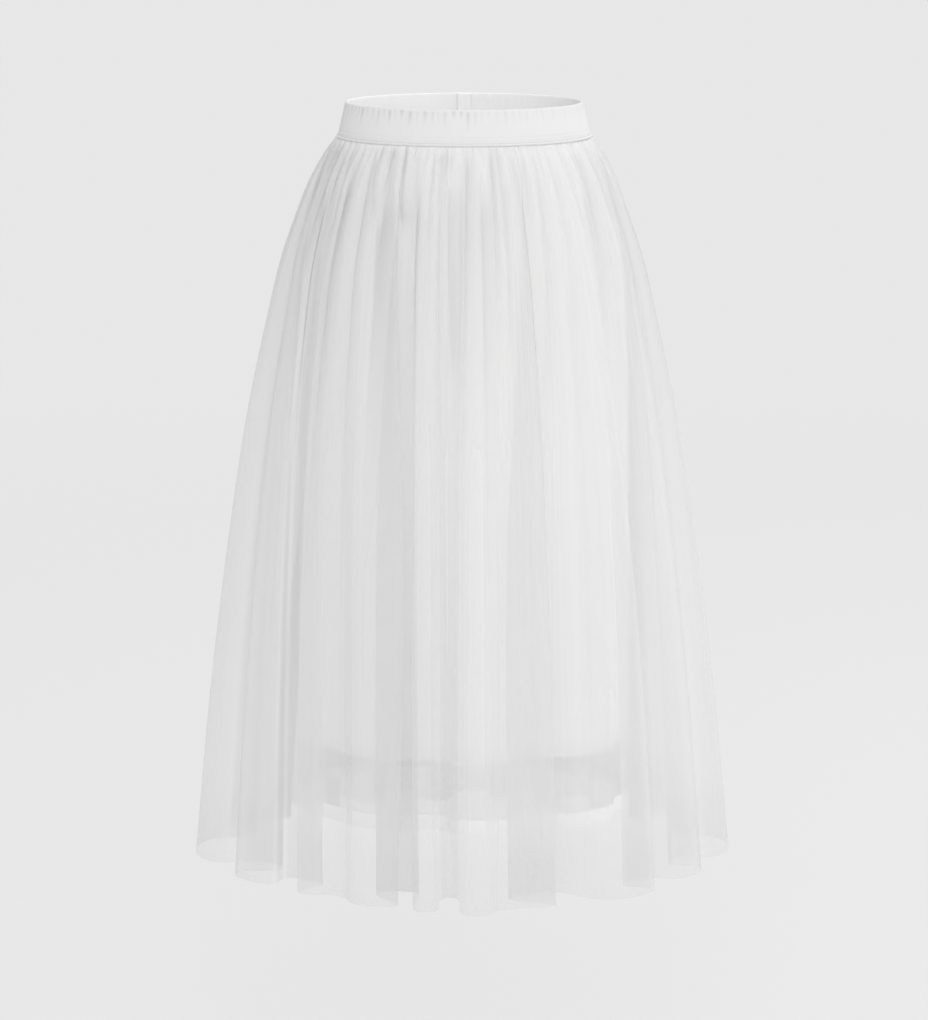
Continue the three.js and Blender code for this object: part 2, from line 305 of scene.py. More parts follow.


# Elastic knit: close upright ribs crossed by rows of loops, each a cosine, a little uneven.
# Shade is painted into its puckers, and light is painted onto its inner face, which is whiter.
def knitCloth():
    look = Look("elastic_knit")
    x, y, _ = look.parts(look.uv("cloth"))
    ribs = (x * (twoPi / knitLook["rib"])).cos() * knitLook["ribHeight"]
    rows = (y * (twoPi / knitLook["row"])).cos() * knitLook["rowHeight"]
    uneven = look.noise(look.stretched(look.uv("cloth"), knitLook["patches"]), 1.0, 3.0)
    dark, light = knitLook["outer"]
    outer = look.tinted(grey(dark), grey(light), uneven)
    puckerShade = look.tinted(outer, grey(knitLook["puckerShade"]), look.attribute("paintedShade"))
    color = look.tinted(puckerShade, grey(knitLook["inner"]), look.attribute("inner"))
    return look.finished(look.node("ShaderNodeBsdfPrincipled", {}, {
        "Base Color": color, "Roughness": 0.85, "Specular IOR Level": 0.2,
        "Normal": look.bump(ribs + rows + uneven, knitLook["depth"], 0.5),
    }))


threadLook = {"dark": 0.62, "light": 0.68, "grain": 900.0, "depth": 0.0001}


def sewingThread():  # a fine uneven grain
    look = Look("sewing_thread")
    fine = look.noise(look.node("ShaderNodeTexCoord", {}, {}, "Object"), threadLook["grain"])
    color = look.tinted(grey(threadLook["dark"]), grey(threadLook["light"]), fine)
    return look.finished(look.node("ShaderNodeBsdfPrincipled", {}, {
        "Base Color": color, "Roughness": 0.6,
        "Normal": look.bump(fine, threadLook["depth"], 0.5),
    }))


liningMaterial = liningCloth()
knitMaterial = knitCloth()
threadMaterial = sewingThread()
print("materials made")


# Main folds of the overlay, a row a fold, on the form of the CAD solids' folds. waist and hem
# are the angles of the valley before each fold, from the front towards +X. The tucks, the
# reach and their hem values lap a flank over more than the solids do, and dark is how much
# shade is painted into the valley.
overlayFolds = table(
    "waist hem valley crest leftTuck rightTuck bulge lean rightReach dark hemTuck hemReach",
    (-101, -108, 0.84, 1.012, 0.75, 0.9, 0.35, 0.0, 0, 0.2, 0.9, 0),
    (-76, -65, 0.75, 0.97, 1.2, 2.8, 0.3, -0.2, 0.08, 0.15, 2.8, 0.08),
    (-58, -42, 0.785, 0.955, 1.3, 0.5, 0.3, -0.1, 0, 0.25, 0.5, 0),
    (-41, -31, 0.91, 1.0, 0.5, 6.4, 0.2, 0.1, 0, 0, 4.4, 0.1),
    (-20, -14.2, 0.75, 1.05, 1.2, 1.2, 0.1, 0.1, 0, 0.32, 1.2, 0),
    (-5, -3.4, 0.82, 1.1, 0.9, 0.5, 0.2, -0.05, 0, 0.12, 0.5, 0),
    (13, 9.3, 1.005, 1.0, 0.4, 7.5, 0.2, 0.1, 0.54, 0, 5.4, 0.36),
    (26, 22, 0.79, 1.015, 0.8, 1.6, 0.35, 0.1, 0, 0.1, 1.6, 0),
    (53, 48, 0.83, 0.975, 0.85, 1.0, 0.35, 0.1, 0, 0.1, 1.0, 0),
    (75, 71, 0.81, 1.0, 0.85, 0.75, 0.35, 0.0, 0, 0.1, 0.75, 0),
    (100, 108, 0.84, 1.0, 0.9, 0.9, 0.4, 0.1, 0, 0.2, 0.9, 0),
    (116, 126, 0.8, 1.03, 0.9, 0.9, 0.3, -0.1, 0, 0.3, 0.9, 0),
    (131, 143, 0.83, 0.98, 0.8, 0.8, 0.4, 0.15, 0, 0.1, 0.8, 0),
    (147, 157, 0.79, 1.05, 0.9, 0.9, 0.3, 0.0, 0, 0.25, 0.9, 0),
    (163, 171, 0.84, 0.99, 0.8, 0.8, 0.3, -0.15, 0, 0.1, 0.8, 0),
    (178, 187, 0.8, 1.04, 0.95, 0.95, 0.3, 0.1, 0, 0.3, 0.95, 0),
    (196, 204, 0.82, 1.0, 0.8, 0.8, 0.4, 0.0, 0, 0.1, 0.8, 0),
    (213, 219, 0.79, 1.02, 0.9, 0.9, 0.3, -0.1, 0, 0.2, 0.9, 0),
    (229, 235, 0.83, 0.98, 0.85, 0.85, 0.4, 0.1, 0, 0.15, 0.85, 0),
)

# Main creases of the overlay, listed one by one. Each has a sharp edge, which runs from one place
# and drop to another, and clears over its width, to the left where that is below 0.
# Each crease is a slight dent with shade painted along it: dark is how dark that painted shade is,
# and it also sets how deep the dent is.
overlayCreases = table(
    "top topDrop low lowDrop width dark",
    (0.8, 0, 0.95, 0.11, -0.25, 0.4),
    (1.6, 0.09, 1.84, 0.3, -0.25, 0.35),
    (1.55, 0.005, 1.95, 0.13, -0.4, 0.6),
    (1.96, 0.1, 1.89, 0.68, -0.4, 0.45),
    (2.2, 0, 2.45, 0.11, 0.25, 0.4),
    (3.0, 0.01, 3.41, 0.085, 0.3, 0.5),
    (3.41, 0.075, 3.53, 0.2, 0.3, 0.55),
    (3.34, 0, 3.6, 0.065, 0.2, 0.5),
    (3.7, 0.005, 3.96, 0.09, 0.2, 0.8),
    (4.91, 0.04, 5.01, 0.26, 0.5, 0.45),
    (5.3, 0.03, 5.4, 0.14, 0.4, 0.25),
    (6.1, 0.03, 6.0, 0.24, 0.4, 0.35),
    (7.1, 0.03, 7.0, 0.3, 0.25, 0.3),
    (7.45, 0.02, 7.3, 0.14, 0.2, 0.2),
    (7.3, 0.12, 7.27, 0.66, 0.45, 0.25),
    (7.9, 0.04, 7.54, 0.16, 0.2, 0.15),
    (8.4, 0.11, 8.17, 0.32, 0.2, 0.2),
)

# How wide and deep each layer is down its length, how far its folds have opened, and how far
# they have spread from their angles at the waist to those at the hem.
overlaySections = table(
    "drop halfWidth halfDepth fold spread",
    (0.0, 0.1334, 0.1034, 0.0, 0.0),
    (0.0341, 0.154, 0.12, 0.12, 0.04),
    (0.0731, 0.17, 0.134, 0.22, 0.1),
    (0.1201, 0.1867, 0.149, 0.33, 0.18),
    (0.1911, 0.204, 0.165, 0.47, 0.29),
    (0.2901, 0.225, 0.185, 0.62, 0.44),
    (0.4211, 0.2455, 0.206, 0.78, 0.61),
    (0.5811, 0.266, 0.226, 0.91, 0.81),
    (0.7611, 0.2835, 0.24, 1.0, 1.0),
)
meshFolds = table(
    "waist hem valley crest leftTuck rightTuck bulge lean",
    (-100, -102, 0.96, 0.98, 0.4, 0.4, 0.2, 0.0),
    (-60, -53, 0.93, 0.97, 0.5, 0.5, 0.3, 0.0),
    (-20, -13, 0.88, 1.0, 0.6, 0.6, 0.2, 0.0),
    (24, 26, 0.88, 1.0, 0.6, 0.6, 0.3, 0.1),
    (66, 70, 0.95, 0.98, 0.4, 0.4, 0.2, 0.0),
    (101, 103, 0.95, 1.0, 0.4, 0.4, 0.3, 0.1),
    (133, 137, 0.93, 1.0, 0.5, 0.5, 0.3, 0.0),
    (166, 168, 0.93, 1.0, 0.5, 0.5, 0.2, -0.1),
    (199, 197, 0.93, 1.0, 0.5, 0.5, 0.3, 0.1),
    (229, 226, 0.95, 1.0, 0.4, 0.4, 0.3, 0.0),
)
meshSections = table(
    "drop halfWidth halfDepth fold spread",
    (0.0, 0.1319, 0.1019, 0.0, 0.0),
    (0.0341, 0.146, 0.113, 0.15, 0.1),
    (0.0731, 0.157, 0.123, 0.3, 0.2),
    (0.1201, 0.166, 0.131, 0.45, 0.3),
    (0.2211, 0.173, 0.138, 0.6, 0.5),
    (0.4011, 0.177, 0.143, 0.8, 0.75),
    (0.6911, 0.181, 0.149, 1.0, 1.0),
    (0.7091, 0.181, 0.149, 1.0, 1.0),
)
liningFolds = table(
    "waist hem valley crest leftTuck rightTuck bulge lean",
    (-99, -98, 0.97, 0.99, 0.2, 0.2, 0.1, 0.0),
    (-58, -55, 0.94, 0.99, 0.3, 0.3, 0.2, 0.0),
    (-16, -12, 0.9, 1.0, 0.4, 0.4, 0.2, 0.0),
    (26, 28, 0.91, 1.0, 0.4, 0.4, 0.2, 0.1),
    (68, 72, 0.95, 0.99, 0.2, 0.2, 0.2, 0.0),
    (98, 97, 0.97, 1.0, 0.2, 0.2, 0.2, 0.0),
    (128, 131, 0.95, 1.0, 0.3, 0.3, 0.2, 0.1),
    (163, 160, 0.94, 1.0, 0.3, 0.3, 0.2, 0.0),
    (197, 199, 0.95, 1.0, 0.3, 0.3, 0.2, 0.0),
    (233, 231, 0.95, 1.0, 0.3, 0.3, 0.2, -0.1),
)
liningSections = table(
    "drop halfWidth halfDepth fold spread",
    (0.0, 0.1304, 0.1004, 0.0, 0.0),
    (0.0341, 0.141, 0.109, 0.1, 0.1),
    (0.0731, 0.1505, 0.117, 0.3, 0.2),
    (0.1201, 0.157, 0.122, 0.5, 0.3),
    (0.2211, 0.162, 0.127, 0.7, 0.5),
    (0.4011, 0.164, 0.13, 0.9, 0.8),
    (0.6371, 0.167, 0.134, 1.0, 1.0),
)


# The level place of a layer's cloth. In each fold the radius rises from valley to crest and
# back as a raised cosine, and sines in the angle tuck its flanks, swell its crest and lean it.
# The right flank's tuck and reach drift to their hem values over the lower half.
def foldedPlace(layer, folds, drop):
    count = len(layer["folds"]["hem"])
    i = np.floor(folds).astype(int)
    t = folds - i
    turn = 360 * np.floor_divide(i, count)
    nextTurn = 360 * np.floor_divide(i + 1, count)
    here = {name: column[i % count] for name, column in layer["folds"].items()}
    after = {name: column[(i + 1) % count] for name, column in layer["folds"].items()}
    fold = through(layer["sections"], "fold", drop)
    spread = through(layer["sections"], "spread", drop)
    hump = (1 - np.cos(twoPi * t)) / 2
    valley = mix(here["valley"], after["valley"], ease(t))
    share = 1 + fold * (mix(valley, here["crest"], hump) - 1)
    low = np.clip((spread - 0.55) / 0.45, 0, 1) if "hemTuck" in here else 0
    rightTuck = mix(here["rightTuck"], here.get("hemTuck", 0), low)
    tuck = np.where(t < 0.5, here["leftTuck"], rightTuck) * np.sin(2 * twoPi * t) / (2 * twoPi)
    bulge = here["bulge"] * np.sin(twoPi * t) / twoPi
    along = t + fold * (tuck - bulge + here["lean"] * hump)
    if "rightReach" in here:
        reach = mix(here["rightReach"], here["hemReach"], low)
        along -= fold * reach * (1 - (4 * np.clip(t, 0.5, 1) - 3) ** 4)
    start = mix(here["waist"], here["hem"], spread) + turn
    end = mix(after["waist"], after["hem"], spread) + nextTurn
    angle = np.radians(mix(start, end, along))
    x = through(layer["sections"], "halfWidth", drop) * share * np.sin(angle)
    y = -through(layer["sections"], "halfDepth", drop) * share * np.cos(angle)
    return x, y


# Cuts a closed run into uneven cells. Gives each place's cell and its share of the way
# across that cell.
def cells(rng, count, uneven, place, run):
    widths = rng.uniform(1 - uneven, 1 + uneven, count)
    edges = np.concatenate([[0], np.cumsum(widths)]) * run / widths.sum()
    place = np.mod(place, run)
    j = np.clip(np.searchsorted(edges, place, "right") - 1, 0, count - 1)
    return j, (place - edges[j]) / (edges[j + 1] - edges[j])


# Uneven small folds: a height over the cloth, and how much shade is painted into a place in a
# crease. Each has its own width, height and length, starts at its own drop and fades out below.
# Its section is a raised cosine to a power, which narrows its valleys. The painted shade is
# strongest where the next fold laps over a crease and clears along that fold, as a power of the
# way left to go. It is darkest at one side of the front and at the side across from it.
def smallFolds(count, kind, folds, drop):
    rng = np.random.default_rng(kind["seed"])
    many = int(round(kind["perFold"] * count))
    j, t = cells(rng, many, kind["uneven"], folds, count)
    sizes = rng.uniform(kind["least"], 1, many)
    starts = rng.uniform(*kind["starts"], many)
    lengths = rng.uniform(*kind["lengths"], many)
    bump = ((1 - np.cos(twoPi * t)) / 2) ** kind["round"]
    rise = ease((drop - starts[j]) / kind["rise"])
    fade = np.exp(-(np.maximum(drop - starts[j], 0) / lengths[j]) ** 2)
    size = sizes[j] * rise * mix(kind["stays"], 1, fade)
    side = (1 + np.cos(2 * twoPi * (folds / count - kind["deepest"]))) / 2
    lap = np.maximum((1 - t) ** kind["narrow"], ease((t - 0.93) / 0.07))
    creaseShade = size * lap * mix(kind["faintest"], 1, side)
    return kind["height"] * size * (bump - kind["below"]), creaseShade


# How deep a place lies in the layer's placed creases, which sets both their dent and the shade
# painted along them: 1 at a sharp edge, less by a square across the width, and easing in and out
# along it. The back has the same ones as the front.
def placedDepth(layer, folds, drop):
    depth = 0 * folds
    if "creases" not in layer:
        return depth
    place = np.where(folds < layer["frontFolds"], folds, folds - layer["creaseShift"])
    for top, topDrop, low, lowDrop, width, dark in zip(*layer["creases"].values()):
        along = (drop - topDrop) / (lowDrop - topDrop)
        across = (place - mix(top, low, along)) / width
        clears = np.clip(1 - across, 0, 1) ** 2 * ease(across / 0.08)
        starts, ends = ease(along / 0.1 + 0.5), ease((1 - along) / 0.35)
        depth = np.maximum(depth, dark * clears * starts * ends)
    return depth


# Cloth of one layer: its level place, moved out square to its own line by the small folds
# and in by the inset and the placed creases. Its height is the seam's less the drop, and a
# slow wave lifts it by a power of its share of the way down.
def clothPoints(layer, folds, drop, inset):
    step = 0.002
    x, y = foldedPlace(layer, folds, drop)
    xBefore, yBefore = foldedPlace(layer, folds - step, drop)
    xAfter, yAfter = foldedPlace(layer, folds + step, drop)
    length = np.hypot(xAfter - xBefore, yAfter - yBefore)
    outX = (yAfter - yBefore) / length
    outY = -(xAfter - xBefore) / length
    count = len(layer["folds"]["hem"])
    out = sum(smallFolds(count, kind, folds, drop)[0] for kind in layer["small"]) - inset
    out = out - layer["trough"] * placedDepth(layer, folds, drop)
    lift = layer["lift"] * wander(layer["liftSeed"], folds, count, layer["liftWaves"])
    z = seamZ - drop + lift * (drop / layer["length"]) ** layer["liftPower"]
    return np.stack([x + outX * out, y + outY * out, z], -1)


# A slow uneven wave round the skirt: a few cosines with seeded sizes and starts.
def wander(seed, folds, count, waves):
    rng = np.random.default_rng(seed)
    total = 0 * folds
    for k in range(1, waves + 1):
        size, start = rng.uniform(0.4, 1), rng.uniform(0, twoPi)
        total = total + size * np.cos(twoPi * k * folds / count + start) / waves
    return total


# Fine upright streaks, from -1 to 1: one random value a strand, eased into the next strand's,
# and into another set of values down the cloth.
def streaks(seed, folds, drop, perFold):
    rng = np.random.default_rng(seed)
    many, levels, run = 4096, 8, 1.4
    values = rng.uniform(-1, 1, (levels, many))
    place = folds * perFold
    i = np.floor(place).astype(int) % many
    t = ease(place - np.floor(place))
    level = drop / run
    k = np.floor(level).astype(int) % levels
    s = ease(level - np.floor(level))
    upper = mix(values[k, i], values[k, (i + 1) % many], t)
    lower = mix(values[(k + 1) % levels, i], values[(k + 1) % levels, (i + 1) % many], t)
    return mix(upper, lower, s)


# How far down each row of a panel lies, and how far in. Rows close up towards the waist,
# where the gathers are fine, by a power of the way down. The lining's hem and the turn's edge
# each have a row just above and one just below. A turned hem goes round a small half circle
# and back up inside.
def panelRows(layer):
    length, turn, bend = layer["length"], layer["turn"], layer["bend"]
    down = np.linspace(0, 1, layer["rows"] + 1)
    drop = length * mix(down, down ** 1.6, layer["closeUp"]) - layer["tucked"] * (1 - down) ** 8
    if layer["bareFrom"]:
        steps = np.add.outer([layer["bareFrom"], length - turn], [-0.0006, 0.0006])
        drop = np.sort(np.concatenate([drop[:-2], steps.ravel(), drop[-1:]]))
        drop = np.append(drop, drop[-1])
    inset = 0 * drop
    if turn:
        halfTurn = np.linspace(0, math.pi, 7)[1:]
        up = np.linspace(bend, turn, 8)[1:]
        drop = np.concatenate([
            drop[:-2], [length - bend], length - bend + bend * np.sin(halfTurn), length - up,
        ])
        inset = np.concatenate([inset[:-1], bend * (1 - np.cos(halfTurn)), 0 * up + 2 * bend])
    return drop, inset


# A panel between two folds, and its pattern: the mean stride across and the mean fall down.
# Fullness is how much wider the flat cloth is than its folded line, and thickens the veil.
def panelGrid(layer, first, last):
    columns = layer["columns"] * (last - first)
    drop, inset = panelRows(layer)
    across = np.linspace(first + layer["seamGap"], last - layer["seamGap"], columns + 1)
    folds, drops = np.meshgrid(across, drop)
    points = clothPoints(layer, folds, drops, inset[:, None])
    stride = np.linalg.norm(np.diff(points, axis=1), axis=2)
    u = np.concatenate([np.zeros((len(drop), 1)), np.cumsum(stride, 1)], 1)
    u -= u.mean(1, keepdims=True)
    fall = np.linalg.norm(np.diff(points, axis=0), axis=2).mean(1)
    v = np.concatenate([[0], np.cumsum(fall)])[:, None] + 0 * u
    flatWidth = mix(layer["waistCut"], layer["hemCut"], drops / layer["length"])
    fullness = flatWidth * (last - first) / stride.sum(1)[:, None]
    return points, np.stack([u, v], -1), folds, drops, fullness


# One panel of a layer, with its attributes. Its painted shade is the deepest of the shade painted
# into its valleys, small creases and placed creases, laid over the layer's own grey, with more
# shade painted towards the hem and into the mesh below the lining, and less where a highlight is
# painted on steep flanks. Its veil grows with the fullness and thickens where shade is painted in
# valleys and creases, on flanks, along the hem and in the turn.
def panel(layer, name, first, last, material):
    points, cloth, folds, drops, fullness = panelGrid(layer, first, last)
    piece = gridPiece(name, points, {"cloth": cloth}, material)
    count = len(layer["folds"]["hem"])
    paintedShade = valleyShade(layer, folds, drops) if "dark" in layer["folds"] else 0 * drops
    for kind in layer["small"]:
        paintedShade = np.maximum(paintedShade, kind["creaseShade"] * smallFolds(count, kind, folds, drops)[1])
    paintedShade = np.maximum(paintedShade, placedDepth(layer, folds, drops))
    bunched = 1 + layer["bunch"] * paintedShade
    steep = flankSteepness(layer, points, drops)
    # The layer's own grey, with shade painted darker towards the hem and a highlight painted on
    # steep flanks.
    base = layer["grey"] + layer["hemShade"] * ease((drops - layer["hemFrom"]) / 0.06)
    paintedShade = base + (1 - base) * paintedShade - layer["glint"] * steep ** 8
    # Shade painted into the mesh between the lining's hem and its turned hem.
    bareShade = (drops > layer["bareFrom"]) & (drops < layer["length"] - layer["turn"])
    paintedShade = np.maximum(paintedShade, layer["bareShade"] * bareShade)
    fine = streaks(layer["streakSeed"], folds, drops, layer["strands"])
    edge = np.exp(-((layer["length"] - drops) / layer["edgeWidth"]) ** 2)
    veil = np.clip(fullness, 1, layer["fullest"]) * (1 + layer["streak"] * fine)
    veil = veil * bunched * (1 + layer["flank"] * steep) + layer["edge"] * edge
    doubled = 1.0 * (drops > layer["length"] - layer["turn"])
    veil = veil * (1 + layer["turnDense"] * doubled)
    addAttribute(piece, "veil", veil)
    addAttribute(piece, "paintedShade", paintedShade)
    addAttribute(piece, "doubled", doubled)
    if layer["thickness"]:
        thicken(piece, layer["thickness"])
    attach(piece, "root")
    return piece


# How steeply the cloth turns away from the layer's own ellipse, 0 on a crest and 1 on a
# flank: one less the part of its normal that points straight out, squared.
def flankSteepness(layer, points, drops):
    across = np.gradient(points, axis=1)
    down = np.gradient(points, axis=0)
    normal = np.cross(down, across)
    normal /= np.linalg.norm(normal, axis=2)[:, :, None] + 1e-12
    outX = points[:, :, 0] / through(layer["sections"], "halfWidth", drops) ** 2
    outY = points[:, :, 1] / through(layer["sections"], "halfDepth", drops) ** 2
    facing = (normal[:, :, 0] * outX + normal[:, :, 1] * outY) / np.hypot(outX, outY)
    return 1 - facing ** 2


# How much shade is painted into a main valley: a raised cosine to a power, times its own
# darkness and how far the folds have opened.
def valleyShade(layer, folds, drop):
    valley = np.floor(folds + 0.5).astype(int) % len(layer["folds"]["hem"])
    depth = (1 + np.cos(twoPi * folds)) / 2
    return through(layer["sections"], "fold", drop) * depth ** 8 * layer["folds"]["dark"][valley]


def addAttribute(piece, name, values):  # one number a vertex, for the material
    attribute = piece.data.attributes.new(name, "FLOAT", "POINT")
    attribute.data.foreach_set("value", values.astype(np.float32).ravel())


# The sizes of each layer. columns is for each main fold, strands and perFold too. lift is how
# far the hem waves up, and turn and bend are its turned hem. waistCut and hemCut are the flat
# width of the cloth for each main fold. bareFrom is where the cloth below the lining starts.
# Some of these paint light into the cloth's colour: shade darker towards the hem, a highlight on
# steep flanks, shade below the lining's hem, and shade in creases and valleys.
overlay = {
    "folds": overlayFolds, "sections": overlaySections, "length": overlayLength,
    "columns": 80, "rows": 92, "closeUp": 0.6, "seamGap": 0.003, "thickness": 0,
    "turn": 0.0, "bend": 0.0, "lift": 0.002, "liftSeed": 4, "liftWaves": 7, "liftPower": 3,
    "waistCut": 0.082, "hemCut": 0.147, "streakSeed": 8, "strands": 40, "streak": 0.035,
    "edge": 0.3, "edgeWidth": 0.0015, "tucked": 0.0012, "fullest": 1.5, "flank": 0.25,
    "bareFrom": 0, "bareShade": 0, "bunch": 1.0, "turnDense": 0, "trough": 0.0006,
    "grey": 0.28, "hemShade": 0.12, "hemFrom": 0.67, "glint": 0.28,
    "creases": overlayCreases, "frontFolds": 10, "creaseShift": 9.4,
    "small": [
        {  # gathers at the seam
            "seed": 11, "perFold": 4.6, "uneven": 0.5, "height": 0.005, "least": 0.2,
            "starts": (-0.008, -0.002), "lengths": (0.018, 0.055), "rise": 0.012,
            "round": 0.55, "below": 0.35, "stays": 0.0, "creaseShade": 0.75,
            "narrow": 3, "deepest": 0.12, "faintest": 0.3,
        },
        {  # gathers that run on between the main folds
            "seed": 17, "perFold": 2.6, "uneven": 0.55, "height": 0.006, "least": 0.25,
            "starts": (-0.008, 0.004), "lengths": (0.08, 0.24), "rise": 0.02,
            "round": 0.6, "below": 0.4, "stays": 0.0, "creaseShade": 1.2,
            "narrow": 4, "deepest": 0.12, "faintest": 0.3,
        },
        {  # long soft ones that die out in the main folds
            "seed": 5, "perFold": 1.4, "uneven": 0.45, "height": 0.005, "least": 0.3,
            "starts": (-0.01, 0.03), "lengths": (0.18, 0.46), "rise": 0.06,
            "round": 0.7, "below": 0.45, "stays": 0.0, "creaseShade": 1.1,
            "narrow": 4, "deepest": 0.12, "faintest": 0.35,
        },
    ],
}
overlayFront = panel(overlay, "tulle_front", 0, 10, tulleMaterial)
overlayBack = panel(overlay, "tulle_back", 10, 19, tulleMaterial)
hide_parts("tulle_overlay_front")
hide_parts("tulle_overlay_back")
print("overlay made")

underskirt = {
    "folds": meshFolds, "sections": meshSections, "length": meshLength,
    "columns": 44, "rows": 70, "closeUp": 0.5, "seamGap": 0.002, "thickness": 0,
    "turn": 0.016, "bend": 0.0004, "lift": 0.006, "liftSeed": 3, "liftWaves": 6,
    "liftPower": 14, "waistCut": 0.1, "hemCut": 0.125,
    "streakSeed": 9, "strands": 40, "streak": 0.03,
    "edge": 0.0, "edgeWidth": 0.0015, "tucked": 0.0, "fullest": 1.5, "flank": 0.3,
    "bareFrom": liningLength - 0.0035, "bareShade": 0.4, "bunch": 0.0,
    "turnDense": 0.6, "trough": 0,
    "grey": 0, "hemShade": 0, "hemFrom": 0, "glint": 0,
    "small": [
        {
            "seed": 21, "perFold": 6.0, "uneven": 0.35, "height": 0.0009, "least": 0.4,
            "starts": (-0.008, -0.002), "lengths": (0.04, 0.2), "rise": 0.02,
            "round": 0.8, "below": 0.6, "stays": 0.0, "creaseShade": 0.2,
            "narrow": 2, "deepest": 0.0, "faintest": 1.0,
        },
        {
            "seed": 22, "perFold": 1.9, "uneven": 0.4, "height": 0.0025, "least": 0.3,
            "starts": (0.05, 0.2), "lengths": (0.5, 1.2), "rise": 0.2,
            "round": 0.9, "below": 0.5, "stays": 0.5, "creaseShade": 0.0,
            "narrow": 2, "deepest": 0.0, "faintest": 1.0,
        },
    ],
}
meshFront = panel(underskirt, "mesh_front", 0, 5, meshMaterial)
meshBack = panel(underskirt, "mesh_back", 5, 10, meshMaterial)
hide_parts("mesh_underskirt_front")
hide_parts("mesh_underskirt_back")

slip = {
    "folds": liningFolds, "sections": liningSections, "length": liningLength,
    "columns": 30, "rows": 60, "closeUp": 0.4, "seamGap": 0.002, "thickness": 0.0004,
    "turn": 0.012, "bend": 0.0005, "lift": 0.0015, "liftSeed": 13, "liftWaves": 5,
    "liftPower": 6, "waistCut": 0.09, "hemCut": 0.1,
    "streakSeed": 10, "strands": 30, "streak": 0.0,
    "edge": 0.0, "edgeWidth": 0.0015, "tucked": 0.0, "fullest": 1.0, "flank": 0.0,
    "bareFrom": 0, "bareShade": 0, "bunch": 0.0, "turnDense": 0, "trough": 0,
    "grey": 0, "hemShade": 0, "hemFrom": 0, "glint": 0,
    "small": [
        {
            "seed": 31, "perFold": 4.0, "uneven": 0.4, "height": 0.0014, "least": 0.4,
            "starts": (-0.008, -0.002), "lengths": (0.03, 0.12), "rise": 0.02,
            "round": 0.9, "below": 0.6, "stays": 0.0, "creaseShade": 0.3,
            "narrow": 2, "deepest": 0.0, "faintest": 1.0,
        },
        {
            "seed": 32, "perFold": 1.6, "uneven": 0.4, "height": 0.002, "least": 0.3,
            "starts": (0.05, 0.2), "lengths": (0.5, 1.2), "rise": 0.2,
            "round": 1.0, "below": 0.5, "stays": 0.5, "creaseShade": 0.0,
            "narrow": 2, "deepest": 0.0, "faintest": 1.0,
        },
    ],
}
liningFront = panel(slip, "lining_cloth_front", 0, 5, liningMaterial)
liningBack = panel(slip, "lining_cloth_back", 5, 10, liningMaterial)
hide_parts("lining_front")
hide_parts("lining_back")
print("mesh underskirt and lining made")


waistband = {
    "top": (0.123, 0.095), "bottom": (0.1305, 0.101), "wall": 0.0022, "edge": 0.0006,
    "around": 1000, "rows": 24, "puckers": 100, "puckerUneven": 0.35, "puckerDepth": 0.0009,
    "puckerLengths": (0.012, 0.027), "puckerWidth": 0.27, "puckerAngle": -40, "seed": 6,
    "lap": 0.0008, "meanRadius": 0.115,
}
bandLow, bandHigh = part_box("waistband")
cordLow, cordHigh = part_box("waist_seam_cord")


def bandHalf(height):  # half width and half depth of the band's outer face at a height
    down = (bandHigh.z - height) / (bandHigh.z - bandLow.z)
    (topWidth, topDepth), (lowWidth, lowDepth) = waistband["top"], waistband["bottom"]
    return mix(topWidth, lowWidth, down), mix(topDepth, lowDepth, down)


# Puckers of the elastic: a trough in each of many uneven cells round the band, a bell curve
# across. Each starts under the rim and dies away at its own length, and they are deepest
# over the left hip and opposite it.
def puckerDepth(angle, height):
    rng = np.random.default_rng(waistband["seed"])
    j, t = cells(rng, waistband["puckers"], waistband["puckerUneven"], angle / twoPi, 1.0)
    depths = rng.uniform(0.25, 1, waistband["puckers"])[j]
    lengths = rng.uniform(*waistband["puckerLengths"], waistband["puckers"])[j]
    below = (bandHigh.z - height) / lengths
    narrow = waistband["puckerWidth"] * mix(1, 0.45, np.clip(below, 0, 1))
    trough = np.exp(-((t - 0.5) / narrow) ** 2) * ease(below * 5) * ease(1 - below)
    side = (1 + np.cos(2 * (angle - math.radians(waistband["puckerAngle"])))) / 2
    return waistband["puckerDepth"] * depths * trough * mix(0.2, 1, side)


